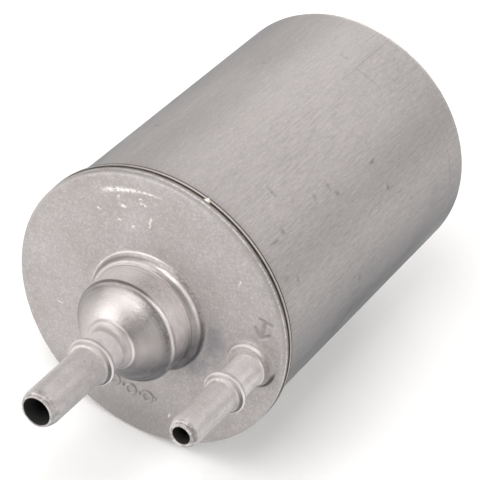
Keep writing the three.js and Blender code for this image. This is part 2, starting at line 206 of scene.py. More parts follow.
class Nodes:
    """A thin wrapper over a material's node tree."""

    def __init__(self, name, **settings):
        self.material = bpy.data.materials.new(name)
        self.material.use_nodes = True
        self.tree = self.material.node_tree
        self.shader = self.tree.nodes["Principled BSDF"]
        for key, value in settings.items():
            self.shader.inputs[key.replace("_", " ")].default_value = value
        self.position = self.node("ShaderNodeTexCoord").outputs["Object"]
        self.base = None

    def node(self, kind, **fields):
        made = self.tree.nodes.new(kind)
        for key, value in fields.items():
            setattr(made, key, value)
        return made

    def link(self, source, target):
        self.tree.links.new(source, target)

    def put(self, node, key, value):
        """A socket's value: a link if it is another node's output, a constant if not."""
        if isinstance(value, bpy.types.NodeSocket):
            self.link(value, node.inputs[key])
        else:
            node.inputs[key].default_value = value

    def set(self, key, value):
        self.put(self.shader, key, value)

    def measure(self):
        """The point's x, y, z, height above the face and distance from the axis, in millimetres."""
        s = self.node("ShaderNodeSeparateXYZ")
        self.link(self.position, s.inputs[0])
        self.x, self.y, self.z = (self.maths("MULTIPLY", s.outputs[i], 1 / MM) for i in range(3))
        self.h = self.maths("SUBTRACT", FACE_Y, self.y)
        self.radius = self.distance(self.x, self.z)

    def distance(self, a, b):
        """Length of the vector (a, b)."""
        square = self.maths("ADD", self.maths("MULTIPLY", a, a), self.maths("MULTIPLY", b, b))
        return self.maths("SQRT", square)

    def lean(self, x, share_x, share_z):
        """How far a point lies in a direction across the axis, towards +X and -Z."""
        return self.maths("SUBTRACT", self.maths("MULTIPLY", x, share_x),
                          self.maths("MULTIPLY", self.z, share_z))

    def mapped(self, scale, offset=(0, 0, 0)):
        m = self.node("ShaderNodeMapping")
        self.link(self.position, m.inputs["Vector"])
        m.inputs["Scale"].default_value = scale
        m.inputs["Location"].default_value = offset
        return m.outputs["Vector"]

    def noise_at(self, vector, detail, rough, distortion=0.0):
        n = self.node("ShaderNodeTexNoise")
        self.link(vector, n.inputs["Vector"])
        for key, value in (("Scale", 1.0), ("Detail", detail), ("Roughness", rough),
                           ("Distortion", distortion)):
            n.inputs[key].default_value = value
        return n.outputs["Fac"]

    def noise(self, scale, offset=(0, 0, 0), detail=3, rough=0.6, distortion=0.0):
        """Noise with so many patches to the metre, the same every way or along each axis."""
        scale = scale if isinstance(scale, tuple) else (scale, scale, scale)
        return self.noise_at(self.mapped(scale, offset), detail, rough, distortion)

    def ramp(self, fac, *stops):
        r = self.node("ShaderNodeValToRGB")
        self.link(fac, r.inputs["Fac"])
        elements = r.color_ramp.elements
        while len(elements) < len(stops):
            elements.new(0.5)
        for element, (at, colour) in zip(elements, stops):
            element.position = at
            element.color = colour
        return r.outputs["Color"]

    def maths(self, operation, a, b=0.0, clamp=False):
        n = self.node("ShaderNodeMath", operation=operation, use_clamp=clamp)
        self.put(n, 0, a)
        self.put(n, 1, b)
        return n.outputs[0]

    def span(self, value, low, high, at_low=0.0, at_high=1.0):
        """Runs from one number to another while the value goes from low to high, and stays there beyond."""
        n = self.node("ShaderNodeMapRange")
        self.put(n, "Value", value)
        for key, number in (("From Min", low), ("From Max", high), ("To Min", at_low), ("To Max", at_high)):
            n.inputs[key].default_value = number
        return n.outputs["Result"]

    def times(self, *factors):
        """The product of sockets and numbers. A tuple stands for a span with those arguments."""
        total = None
        for factor in factors:
            factor = self.span(*factor) if isinstance(factor, tuple) else factor
            total = factor if total is None else self.maths("MULTIPLY", total, factor)
        return total

    def most(self, *values):
        """The greatest of several values."""
        total = values[0]
        for value in values[1:]:
            total = self.maths("MAXIMUM", total, value)
        return total

    def dip(self, value, middle, half):
        """1 where the value is at the middle, falling to 0 half a width away."""
        away = self.maths("ABSOLUTE", self.maths("SUBTRACT", value, middle))
        return self.span(away, 0.0, half, 1.0, 0.0)

    def blot(self, x, y, z, *half_sizes):
        """1 at a point, falling to 0 at the edge of an ellipsoid; all in millimetres."""
        offset = [-c / v for c, v in zip((x, y, z), half_sizes)]
        length = self.node("ShaderNodeVectorMath", operation="LENGTH")
        self.link(self.mapped([1 / MM / v for v in half_sizes], offset), length.inputs[0])
        return self.span(length.outputs["Value"], 0.2, 1.0, 1.0, 0.0)

    def blots(self, marks):
        return self.most(*(self.blot(*mark) for mark in marks))

    def painted(self, name):
        """A value stored on the mesh's own points."""
        return self.node("ShaderNodeAttribute", attribute_name=name).outputs["Fac"]

    def mix(self, fac, a, b):
        n = self.node("ShaderNodeMix", data_type="RGBA")
        self.put(n, "Factor", fac)
        for socket, value in (("A", a), ("B", b)):
            target = next(i for i in n.inputs if i.name == socket and i.type == "RGBA")
            if isinstance(value, bpy.types.NodeSocket):
                self.link(value, target)
            else:
                target.default_value = value
        return next(o for o in n.outputs if o.type == "RGBA")

    def paint(self, colour, *factors):
        """Lays a colour over the base so far, as thickly as the product of the factors says."""
        self.base = self.mix(self.times(*factors), self.base, colour)

    def bump(self, height, strength, distance, after=None):
        b = self.node("ShaderNodeBump")
        self.link(height, b.inputs["Height"])
        b.inputs["Strength"].default_value = strength
        b.inputs["Distance"].default_value = distance
        if after is not None:
            self.link(after, b.inputs["Normal"])
        return b.outputs["Normal"]


def grey(v, warm=0.0):
    """Aluminium grey of linear brightness v, slightly rosy; warm turns it towards brown."""
    return (v * (1.060 + warm), v, v * (1.000 - warm), 1)


CAN_SCUFFS = [   # centres and half sizes of the darker rubbed marks on the can
    (23.0, -32.9, 26.6, 1.3, 1.0, 1.3), (23.6, -37.2, 26.2, 0.8, 2.2, 0.8),
    (24.6, -9.1, 25.1, 1.0, 1.5, 1.0), (22.5, -10.4, 27.1, 1.6, 0.7, 1.6),
    (33.0, 18.8, 12.2, 0.6, 0.8, 0.6), (24.9, 8.4, 24.9, 1.0, 1.8, 1.0), (29.7, 10.0, 18.9, 1.3, 0.9, 1.3),
    (29.1, -39.5, 19.8, 1.1, 1.4, 1.1), (30.3, -35.5, 18.0, 1.3, 0.8, 1.3),
    (16.1, -27.3, 31.3, 2.0, 0.8, 2.0), (3.3, 30.0, 35.0, 1.4, 0.6, 1.4), (34.9, -8.7, 4.7, 1.2, 0.8, 1.8),
    (35.2, -10.5, 1.4, 1.2, 1.6, 1.2), (22.5, -16.6, 27.1, 1.2, 1.2, 1.2),
    (-12.0, 16.0, 33.1, 1.6, 0.8, 1.6), (-30.0, 20.0, -18.4, 2.0, 1.4, 2.0),
    (-20.0, -20.0, 29.0, 1.4, 0.9, 1.4), (8.0, -5.0, -34.3, 2.2, 1.2, 2.2),
]


def brushed_can_material():
    """Drawn aluminium: long fine streaks along the can, clouded patches, scuffs, soot beside the weld, and
    painted shade.
    """
    m = Nodes("can_metal", Metallic=0.45, Anisotropic=0.4)
    m.measure()
    x, y, z, h, radius = m.x, m.y, m.z, m.h, m.radius
    bands = m.noise((700, 24, 700))
    streaks = m.noise((2300, 150, 2300), detail=4, rough=0.7)
    fine = m.noise((4200, 900, 4200), rough=0.7)
    cross = m.noise((500, 1900, 500), (1, 2, 6), rough=0.7, distortion=0.6)
    clouds = m.noise((38, 22, 38), detail=4, distortion=0.6)
    patches = m.noise((90, 60, 90), (3, 1, 2))
    ragged = m.noise((2200, 520, 2200), (5, 0, 1), detail=4, rough=0.8, distortion=0.8)
    strokes = m.noise((2400, 300, 2400), (9, 4, 2), detail=4, rough=0.75)
    side = m.span(radius, 34.2, 34.8)          # the wall, without the closed end
    lip = m.span(radius, 35.7, 36.2)
    scuffs = m.times(m.blots(CAN_SCUFFS), (ragged, 0.43, 0.56))

    m.base = m.mix(clouds, grey(0.43, 0.012), grey(0.51, -0.004))
    m.paint(grey(0.38, 0.005), (bands, 0.3, 0.7, 0.0, 0.20))
    m.paint(grey(0.32, 0.005), (streaks, 0.30, 0.70, 0.0, 0.58))
    m.paint(grey(0.72), (fine, 0.50, 0.72, 0.0, 0.40))
    m.paint(grey(0.30), (cross, 0.55, 0.75, 0.0, 0.22))
    m.paint(grey(0.38, 0.01), (patches, 0.35, 0.7, 0.0, 0.18))

    # the right of the wall is brushed more roughly; painted shade darkens it towards the floor on the right,
    # along the top towards the rear, and at the left shoulder
    worn = m.times(side, (x, -2.0, 8.0), (clouds, 0.35, 0.60, 0.4, 1.0))
    m.paint(grey(0.22, 0.01), worn, (strokes, 0.53, 0.68, 0.0, 0.45))
    m.paint(grey(0.66), worn, (strokes, 0.47, 0.32, 0.0, 0.25))
    m.paint((0.095, 0.101, 0.109, 1), side, (x, 8.0, 24.0), (z, 14.0, -5.0), (clouds, 0.3, 0.7, 0.80, 0.95))
    m.paint(grey(0.26, 0.005), (y, 5.0, 48.0, 0.0, 0.22), (z, 18.0, 26.0))
    m.paint((0.17, 0.175, 0.185, 1), side, (x, -17.0, -27.0), (z, 4.0, 16.0), (patches, 0.3, 0.7, 0.70, 0.92))

    # faint lines pressed into the rear of the wall, darkened as painted shade; flecks and scuffs
    edge_line = m.times(m.dip(h, -76.9, 0.35), (x, 7.4, 8.0), (x, 15.5, 12.0), (z, 0.0, 1.0))
    crease_line = m.times(m.dip(x, 7.5, 0.30), (y, 16.0, 27.0), (z, 0.0, 1.0))
    rear_line = m.times(m.dip(h, -88.6, 0.25), (z, 24.0, 14.0))
    lines = m.most(edge_line, crease_line, rear_line)
    m.paint(grey(0.20, 0.01), side, lines, (ragged, 0.36, 0.52, 0.2, 1.0), 0.55)
    m.paint(grey(0.18, 0.01), (ragged, 0.69, 0.76), 0.35)
    m.paint(grey(0.12, 0.005), scuffs, 0.60)

    # the lip, the stained wall beside it, and dark edges to the lip: weld soot on its front face, soot and
    # painted shade at its rear edge where it stands proud of the wall
    m.paint((0.17, 0.15, 0.125, 1), (h, -7.5, -4.4), m.maths("SUBTRACT", 1.0, lip),
            (patches, 0.3, 0.65, 0.05, 0.35))
    m.paint(grey(0.62, 0.03), lip, (fine, 0.3, 0.7, 0.2, 0.8))
    # dark on the lip's front face by the weld, and on its rear edge as soot with painted shade
    soot = m.most(m.span(h, -3.35, -3.12), m.times((h, -3.70, -3.86), lip))
    m.paint((0.050, 0.040, 0.030, 1), soot, (patches, 0.2, 0.5, 0.75, 0.97))
    m.set("Base Color", m.base)

    rough = m.maths("ADD", m.span(streaks, 0.3, 0.7, 0.44, 0.58), m.span(clouds, 0.3, 0.7, -0.04, 0.06))
    m.set("Roughness", m.maths("ADD", rough, m.maths("MULTIPLY", scuffs, 0.1), clamp=True))
    normal = m.bump(streaks, 0.30, 0.00010)
    normal = m.bump(fine, 0.25, 0.00005, normal)
    normal = m.bump(patches, 0.12, 0.0004, normal)
    m.set("Normal", m.bump(scuffs, 0.25, 0.00010, normal))
    tangent = m.node("ShaderNodeTangent", direction_type="RADIAL", axis="Y")
    m.link(tangent.outputs[0], m.shader.inputs["Tangent"])
    return m.material


FACE_SCRATCHES = [   # centres and half sizes of the bright scratched places on the face
    (-10.8, FACE_Y, 25.8, 1.6, 2.0, 0.6), (-3.0, FACE_Y, 24.6, 0.5, 2.0, 2.2),
    (-5.6, FACE_Y, 28.6, 1.5, 2.0, 0.5), (-6.4, FACE_Y, 29.6, 0.6, 2.0, 0.6),
    (-12.2, FACE_Y, 27.6, 0.5, 2.0, 0.8), (-7.0, FACE_Y, 21.4, 0.8, 2.0, 0.6),
    (-11.0, FACE_Y, 21.6, 0.9, 2.0, 0.5), (-16.8, FACE_Y, 22.0, 1.0, 2.0, 0.4),
    (22.0, FACE_Y, 20.0, 0.5, 2.0, 1.2), (-24.0, FACE_Y, -10.0, 1.2, 2.0, 0.4),
    (10.0, FACE_Y, -27.0, 0.4, 2.0, 1.0),
]


def paint_housing(m):
    """The raised housing, with painted highlights and shade: wall, ring round it, rolled shoulder, dome, and
    the flare at the spout's foot.
    """
    x, z, h, radius, pebbles, rubbed = m.x, m.z, m.h, m.radius, m.pebbles, m.rubbed
    up_to_wall = (radius, 14.0, 13.9)
    past_flare = (radius, 5.95, 6.15)
    above_shoulder = (h, 10.0, 11.0)

    crease = m.times(m.dip(h, 2.45, 0.40), (radius, 14.1, 13.2), (radius, 12.6, 13.2))
    m.paint((0.16, 0.12, 0.09, 1), crease, 0.6)
    wall = m.times((h, 9.3, 8.7), (h, 2.7, 3.0), up_to_wall)
    wall_right_painted_light = m.times(wall, (x, 1.0, 10.0))
    wall_left_painted_light = m.times(wall, (x, 4.0, -3.0))
    m.paint(m.mix(m.span(pebbles, 0.35, 0.62), grey(0.26, 0.035), grey(0.60, 0.004)), wall, 0.75)
    # painted light: the wall is lightened, more on the right than on the left
    m.paint(grey(0.92, 0.004), wall_right_painted_light, (rubbed, 0.35, 0.6, 0.85, 0.60))
    m.paint(grey(0.74, 0.006), wall_left_painted_light, (rubbed, 0.35, 0.6, 0.80, 0.60))

    # painted shade dulls the shoulder on the left, and darkens a speckled valley inside it on the right
    m.paint(grey(0.15, 0.012), (h, 11.0, 10.4), (h, 8.9, 9.3), (radius, 11.9, 12.4), up_to_wall,
            (x, 6.5, 2.5), (rubbed, 0.35, 0.6, 0.88, 0.70))
    speckle = m.maths("MULTIPLY", m.maths("ADD", pebbles, rubbed), 0.5)
    m.paint(grey(0.12, 0.01), (radius, 11.3, 12.1), (radius, 12.95, 12.75), (h, 9.7, 10.0),
            (x, -1.0, 6.0, 0.12, 1.0), (z, 2.0, -5.0, 1.0, 0.35), (speckle, 0.38, 0.58, 0.92, 0.50))

    # painted shade in the hollows behind and in front of the ring at the wall's foot, heaviest on the right
    m.paint(grey(0.14, 0.012), (radius, 15.20, 15.40), (radius, 16.15, 15.70), (x, -3.0, 8.0, 0.15, 1.0),
            (pebbles, 0.35, 0.6, 0.80, 0.25))
    m.paint(grey(0.22, 0.02), (radius, 13.85, 14.05), (radius, 14.85, 14.6), (h, 1.5, 1.9),
            (x, -3.0, 8.0, 0.35, 1.0), (pebbles, 0.35, 0.6, 0.60, 0.35))

    # painted shade on the dome's left; the spout's flare, with painted shade on the left of its ridge and a
    # painted highlight on the right; painted shade on the right of the dome
    m.paint(grey(0.20, 0.004), (h, 10.2, 11.4), (radius, 6.0, 6.4), (x, -5.5, -11.5, 0.0, 0.70))
    flare = m.times((h, 15.9, 16.2), (radius, 6.7, 6.55))
    neck_root = m.times(flare, (radius, 6.15, 5.95))
    m.paint(grey(0.47, 0.006), neck_root, 0.70)
    m.paint(grey(0.30, 0.01), flare, past_flare, (x, 4.5, 1.5, 0.0, 0.62))
    m.paint(grey(0.98), past_flare, (radius, 6.50, 6.38), (x, 2.5, 4.5, 0.0, 0.45), (z, -5.0, -3.0))
    m.paint(grey(0.15, 0.006), (radius, 6.45, 6.60), (radius, 9.5, 6.9), above_shoulder,
            (x, 0.5, 4.5, 0.0, 0.45))
    m.paint(grey(0.20, 0.006), (radius, 7.8, 9.3), (radius, 12.2, 11.6), (x, 3.5, 7.0), (z, -8.0, -4.0),
            above_shoulder, (rubbed, 0.35, 0.6, 0.50, 0.35))

    # painted light on the ring and shoulder: shade dulls the ring's crest at the top left, and painted
    # highlights lie on its outer foot at the top left, on its crest, and on the shoulder on the right
    top_left = m.times((x, 6.0, 2.0), (z, 0.0, 6.0))
    m.paint(grey(0.22, 0.006), (radius, 14.4, 14.8), (radius, 15.35, 15.20), top_left, 0.60)
    m.paint(grey(0.85), (radius, 15.70, 15.85), (radius, 16.15, 15.98), top_left,
            (rubbed, 0.35, 0.6, 0.80, 0.40))
    m.paint(grey(0.97, -0.01), (radius, 14.84, 15.00), (radius, 15.26, 15.16), (x, -3.0, 5.0),
            (rubbed, 0.35, 0.6, 0.85, 0.45))
    shoulder_right_highlight = m.times((h, 10.3, 10.1), (h, 8.40, 8.80), (radius, 12.65, 12.8), up_to_wall,
                             (x, 4.0, 7.5))
    # painted highlight on the shoulder's right
    m.paint(grey(1.0, -0.01), shoulder_right_highlight, (z, -8.5, -5.0), (rubbed, 0.35, 0.62, 0.9, 0.45))

    # the underside is in shade
    m.paint((0.062, 0.062, 0.070, 1), (m.lean(x, 0.5, 0.866), 2.0, 8.5), (radius, 16.0, 15.6),
            (rubbed, 0.3, 0.6, 0.74, 0.93))

    metallic = m.span(m.housing, 0.0, 1.0, 0.4, 0.76)
    metallic = m.maths("SUBTRACT", metallic, m.maths("MULTIPLY", m.most(wall_right_painted_light, wall_left_painted_light), 0.35))
    metallic = m.maths("ADD", metallic, m.maths("MULTIPLY", shoulder_right_highlight, 0.25), clamp=True)
    m.set("Metallic", m.maths("SUBTRACT", metallic, m.maths("MULTIPLY", neck_root, 0.5), clamp=True))


def paint_face(m):
    """The flat face: painted shade and shadows, a worn arc, scratches, the rim's worn edge with a painted
    highlight, and the dark marks.
    """
    x, z, h, radius, mottle, ragged = m.x, m.z, m.h, m.radius, m.mottle, m.ragged
    # painted shade darkens the face towards the bottom
    m.paint(grey(0.20, 0.006), (radius, FLAT_IN, FLAT_IN + 1.0), (z, -20.0, -31.0, 0.0, 0.42))
    # a painted shadow of the side spout on the face below it
    shadow_beside_spout = m.blot(20.5, FACE_Y, -18.5, 7.0, 4.0, 5.5)
    m.paint(grey(0.20, 0.01), shadow_beside_spout, (mottle, 0.30, 0.60, 0.25, 0.50), 0.6)
    # a bluish painted shadow on the face to the right of the housing
    shadow_beside_housing = m.most(m.blot(18.4, FACE_Y, 0.0, 3.4, 4.0, 7.5), m.blot(14.5, FACE_Y, -8.5, 4.5, 4.0, 4.0))
    m.paint((0.225, 0.235, 0.265, 1), shadow_beside_housing, (mottle, 0.30, 0.60, 0.25, 0.70),
            m.maths("SUBTRACT", 1.0, m.housing))

    angle = m.maths("MULTIPLY", m.maths("ARCTAN2", z, x), math.degrees(1.0))
    # The arc isn't quite centred on the axis.
    slant = m.maths("MULTIPLY", m.maths("SUBTRACT", angle, 107.0), math.radians(0.6))
    arc_at = m.maths("ADD", radius, slant)
    arc_mark = m.most(m.dip(arc_at, 32.3, 0.42), m.times(m.dip(arc_at, 32.2, 0.95), (angle, 101.0, 107.0)))
    arc_mark = m.times(arc_mark, (angle, 91.0, 95.0), (angle, 123.0, 118.0), (ragged, 0.42, 0.52))
    scratches = m.times(m.blots(FACE_SCRATCHES), (ragged, 0.46, 0.53))
    # a bright worn line along the rim's edge, lit in patches as a painted highlight
    edge = m.times((radius, 36.1, 36.3), (h, -1.40, -1.55), (h, -1.95, -1.80),
                   (ragged, 0.42, 0.58, 0.0, 0.80), (m.clouds, 0.42, 0.55, 0.15, 1.0))
    m.paint((0.97, 0.94, 0.91, 1), m.most(arc_mark, scratches, edge))
    m.paint(grey(0.17, 0.005), m.painted("stamp"), (ragged, 0.35, 0.6, 0.22, 0.60))


def paint_collar(m):
    """The collar round the side spout: painted shade on its wall and a painted shadow line on its lower side,
    and painted highlights on its edges.
    """
    from_spout = m.maths("SUBTRACT", m.x, COLLAR_X)
    out = m.distance(from_spout, m.z)
    low = m.lean(from_spout, 0.80, 0.60)
    # painted shade on the collar's lower wall
    m.paint(grey(0.16, 0.02), (out, 4.75, 4.95), (out, 5.72, 5.60), (low, -2.0, 2.0),
            (m.pebbles, 0.3, 0.6, 0.72, 0.35))
    # a painted shadow line where the collar meets the face on its lower side
    m.paint(grey(0.035, 0.01), (out, 5.60, 5.80), (out, 6.6, 6.25), (low, 4.4, 5.4, 0.0, 0.9))
    # painted highlights on the collar's rim and round the neck's foot
    collar_edge_highlight = m.times((out, 5.30, 5.42), (out, 5.72, 5.60), (low, 1.0, -2.0, 0.0, 0.50))
    neck_edge_highlight = m.times((out, 4.10, 4.2), (out, 4.95, 4.80), (low, -1.5, 1.0, 0.0, 0.70), (low, 5.3, 4.9))
    m.paint(grey(0.95), m.most(collar_edge_highlight, neck_edge_highlight))


def blasted_cover_material():
    """Blasted aluminium: fine pebbled grain, mottling, painted highlights on the edges and painted shade, and
    the housing smoother.
    """
    m = Nodes("cover_metal")
    m.measure()
    grain = m.noise(3600, rough=0.75)
    m.pebbles = m.noise(1700, (2, 5, 1), detail=4, rough=0.7)
    m.mottle = m.noise(420, (1, 4, 2), detail=5, rough=0.65)
    m.clouds = m.noise(60, (4, 1, 3), detail=4, distortion=0.5)
    m.ragged = m.noise(1300, (6, 2, 4), detail=4, rough=0.75, distortion=1.0)
    m.rubbed = m.noise((260, 700, 260), (3, 3, 1), detail=5, rough=0.7, distortion=0.8)
    round_axis = m.node("ShaderNodeCombineXYZ")
    for i, value in enumerate((m.radius, m.y)):
        m.link(m.maths("MULTIPLY", value, 2.2), round_axis.inputs[i])
    rings = m.noise_at(round_axis.outputs[0], detail=3, rough=0.6)
    m.housing = m.span(m.radius, 16.0, 15.2)

    m.base = m.mix(m.span(m.clouds, 0.35, 0.65), grey(0.360, 0.014), grey(0.422, -0.006))
    m.paint(grey(0.33, 0.012), (m.mottle, 0.38, 0.64, 0.0, 0.30))
    m.paint(grey(0.75), (m.pebbles, 0.50, 0.70, 0.0, 0.32))
    m.paint(grey(0.27, 0.012), (m.pebbles, 0.46, 0.30, 0.0, 0.38))
    turned = m.mix(m.span(rings, 0.35, 0.65, 0.0, 0.30), grey(0.55, 0.008), grey(0.42, 0.01))
    turned = m.mix(m.span(m.rubbed, 0.48, 0.68, 0.0, 0.35), turned, grey(0.36, 0.008))
    m.paint(turned, m.housing, 0.85)
    paint_housing(m)
    paint_face(m)
    paint_collar(m)
    m.paint((0.095, 0.076, 0.060, 1), (m.radius, 35.9, 36.3), (m.h, -1.90, -2.75),
            (m.mottle, 0.3, 0.6, 0.60, 0.92))
    m.set("Base Color", m.base)

    n = m.node("ShaderNodeMix", data_type="FLOAT")
    m.link(m.housing, n.inputs["Factor"])
    m.link(m.span(m.mottle, 0.3, 0.7, 0.44, 0.60), n.inputs[2])
    m.link(m.span(rings, 0.3, 0.7, 0.27, 0.36), n.inputs[3])
    m.set("Roughness", n.outputs[0])
    normal = m.bump(m.pebbles, 0.55, 0.00022)
    normal = m.bump(grain, 0.40, 0.00008, normal)
    m.set("Normal", m.bump(m.mottle, 0.15, 0.0005, normal))
    return m.material


def turned_spout_material():
    """Turned and tumbled aluminium: faint rings, small knocks, painted highlights and shade, and bores
    painted near black.
    """
    m = Nodes("spout_metal", Metallic=0.35)
    m.measure()
    x, y, z, h, radius = m.x, m.y, m.z, m.h, m.radius
    grain = m.noise(2600, rough=0.75)
    rings = m.noise((60, 2400, 60))
    mottle = m.noise((420, 260, 420), (2, 2, 5), detail=4, rough=0.65)
    knocks = m.span(m.noise((620, 420, 620), (7, 3, 1), detail=4, rough=0.65, distortion=0.8), 0.62, 0.70)
    side_x = m.maths("SUBTRACT", x, INLET_X)
    side_radius = m.distance(side_x, z)
    front = m.span(y, 1.0, -1.0)
    on_large, on_small = (x, 15.0, 14.0), (x, 14.0, 15.0)
    low = m.most(m.times(on_large, m.lean(x, 0.75, 0.66)), m.times(on_small, m.lean(side_x, 0.75, 0.66)))

    m.base = m.mix(m.span(mottle, 0.3, 0.7), grey(0.49, 0.008), grey(0.62, -0.004))
    m.paint(grey(0.35, 0.01), (rings, 0.35, 0.7, 0.0, 0.25))
    m.paint(grey(0.86), (grain, 0.50, 0.70, 0.0, 0.35))
    m.paint(grey(0.32, 0.01), (grain, 0.46, 0.30, 0.0, 0.35))
    m.paint(grey(0.20, 0.01), knocks, 0.45)

    # painted light on the necks, and painted shade on the lower sides
    m.paint(grey(0.88), (h, 23.2, 22.6), (h, 15.5, 16.5), (radius, 7.0, 6.5), (mottle, 0.3, 0.6, 0.32, 0.60))
    m.paint(grey(0.88), (h, 11.6, 11.2), on_small, (mottle, 0.3, 0.6, 0.20, 0.42))
    m.paint((0.17, 0.18, 0.205, 1), (low, 1.8, 4.4), (mottle, 0.3, 0.6, 0.72, 0.45))

    # the beads: painted shade in the groove on the front face, heaviest on the lower side, a painted
    # highlight on the rim outside it, and a duller back
    large_face_shade = m.times((radius, 5.28, 5.38), (radius, 5.92, 5.80), (h, 24.2, 24.4), on_large)
    small_face_shade = m.times((side_radius, 4.50, 4.60), (side_radius, 5.17, 5.05), (h, 13.0, 13.2))
    m.paint(grey(0.10, 0.01), m.most(large_face_shade, small_face_shade), (low, -1.0, 3.0, 0.12, 0.90))
    # painted highlights on the beads' rims
    large_rim_highlight = m.times((radius, 5.85, 5.95), (h, 24.05, 24.25), on_large)
    small_rim_highlight = m.times((side_radius, 5.10, 5.20), (side_radius, 6.0, 5.9), (h, 12.85, 13.05))
    m.paint(grey(0.92), m.most(large_rim_highlight, small_rim_highlight), (low, -1.0, 2.0, 0.0, 0.62))
    large_back = m.times((radius, 5.1, 5.3), (h, 24.0, 23.8), (h, 22.6, 22.8), on_large)
    small_back = m.times((side_radius, 4.4, 4.6), (h, 12.8, 12.6), (h, 11.4, 11.6), (side_radius, 6.1, 6.0))
    m.paint(grey(0.22, 0.012), m.most(large_back, small_back), 0.45)

    # knocked tips, and bores painted near black as shade
    large_tip = m.times((h, 43.6, 44.6), (mottle, 0.40, 0.55, 0.45, 0.0))
    small_tip = m.times((side_radius, 4.4, 4.2), (h, 30.2, 30.9), (mottle, 0.40, 0.55, 0.70, 0.0))
    m.paint(grey(0.16, 0.012), m.most(large_tip, small_tip))
    in_large = m.times(front, (radius, 3.74, 3.66), (h, 46.08, 45.85))
    in_side = m.times(front, (side_radius, 2.52, 2.44), (h, 31.78, 31.5))
    in_rear = m.times(m.maths("SUBTRACT", 1.0, front), (radius, 2.58, 2.50), (y, END_Y + 31.7, END_Y + 30.7))
    bore = m.most(in_large, in_side, in_rear)
    m.paint(m.mix(in_side, (0.031, 0.031, 0.031, 1), (0.034, 0.030, 0.029, 1)), bore, 0.985)
    m.set("Base Color", m.base)

    m.set("Roughness", m.maths("ADD", m.span(mottle, 0.3, 0.7, 0.42, 0.54), m.maths("MULTIPLY", bore, 0.3)))
    normal = m.bump(rings, 0.15, 0.00006)
    normal = m.bump(grain, 0.35, 0.00007, normal)
    m.set("Normal", m.bump(knocks, 0.30, 0.00012, normal))
    return m.material


def weld_material():
    """Sooty weld metal, with the bright nugget."""
    m = Nodes("weld_look", Metallic=1.0)
    soot = m.noise(420, detail=4, rough=0.7)
    m.base = m.ramp(soot, (0.30, (0.035, 0.028, 0.022, 1)), (0.55, (0.10, 0.082, 0.064, 1)),
                    (0.75, (0.24, 0.21, 0.17, 1)))
    nugget = m.blot(NUGGET_X, FACE_Y + 3.4, NUGGET_Z, 1.1, 1.6, 1.1)
    m.paint((0.93, 0.90, 0.80, 1), m.maths("MULTIPLY", nugget, 1.6, clamp=True))
    m.set("Base Color", m.base)
    m.set("Roughness", m.span(soot, 0.3, 0.7, 0.6, 0.4))
    m.set("Normal", m.bump(soot, 0.4, 0.0002))
    return m.material


def inner_metal_material(name, dark, light, rough, brushing=600):
    """Plain metal of the inner parts, between two greys and round about one roughness."""
    m = Nodes(name, Metallic=1.0)
    marks = m.noise(brushing)
    m.base = m.mix(m.noise(120, detail=4), grey(dark, 0.01), grey(light, 0.01))
    m.paint(grey(dark * 0.7), (marks, 0.35, 0.7, 0.0, 0.3))
    m.set("Base Color", m.base)
    m.set("Roughness", m.span(marks, 0.3, 0.7, rough - 0.07, rough + 0.09))
    m.set("Normal", m.bump(marks, 0.15, 0.00006))
    return m.material


def rubber_material():
    """Black rubber with a faint grey bloom."""
    m = Nodes("rubber_look", Specular_IOR_Level=0.35)
    bloom = m.noise(150)
    m.set("Base Color", m.mix(bloom, (0.010, 0.010, 0.011, 1), (0.026, 0.026, 0.027, 1)))
    m.set("Roughness", m.span(bloom, 0.3, 0.7, 0.55, 0.75))
    m.set("Normal", m.bump(m.noise(1300), 0.2, 0.00006))
    return m.material


def nylon_material():
    """Black moulded nylon with flow marks."""
    m = Nodes("nylon_look", Specular_IOR_Level=0.45)
    flow = m.noise((60, 140, 60), rough=0.5, distortion=0.8)
    m.set("Base Color", m.mix(flow, (0.018, 0.019, 0.021, 1), (0.040, 0.041, 0.044, 1)))
    m.set("Roughness", m.span(flow, 0.3, 0.7, 0.42, 0.58))
    m.set("Normal", m.bump(m.noise(800), 0.15, 0.00008))
    return m.material


def paper_material():
    """Resin-soaked filter paper: fibres and a slightly uneven tan."""
    m = Nodes("paper_look", Specular_IOR_Level=0.2)
    fibres = m.noise((1500, 420, 1500), detail=5, rough=0.7, distortion=1.0)
    m.base = m.mix(m.noise((70, 40, 70)), (0.62, 0.44, 0.20, 1), (0.74, 0.56, 0.29, 1))
    m.paint((0.48, 0.32, 0.14, 1), (fibres, 0.4, 0.7, 0.0, 0.35))
    m.set("Base Color", m.base)
    m.set("Roughness", m.span(fibres, 0.3, 0.7, 0.8, 0.95))
    m.set("Normal", m.bump(fibres, 0.35, 0.00015))
    return m.material


CAN_METAL = brushed_can_material()
COVER_METAL = blasted_cover_material()
SPOUT_METAL = turned_spout_material()
WELD_METAL = weld_material()
STEEL = inner_metal_material("steel_look", 0.46, 0.60, 0.34)
SPRING_STEEL = inner_metal_material("spring_look", 0.36, 0.50, 0.30, (900, 200, 900))
RUBBER = rubber_material()
NYLON = nylon_material()
PAPER = paper_material()


# ---------------------------------------- can

WAVY_FROM, WAVY_TO = 5, 92   # distances behind the face between which the wall is uneven
CAN_KNOCKS = [   # angle in degrees, distance behind the face, radius of the knock, depth
    (58, 70, 5.0, 0.05), (12, 78, 3.2, 0.07), (35, 52, 2.6, 0.05), (80, 30, 6.0, 0.04), (25, 24, 3.4, 0.06),
    (110, 60, 8.0, 0.05), (-15, 40, 5.0, 0.06), (-60, 60, 6.0, 0.06), (200, 50, 7.0, 0.06),
    (150, 20, 5.0, 0.05),
]


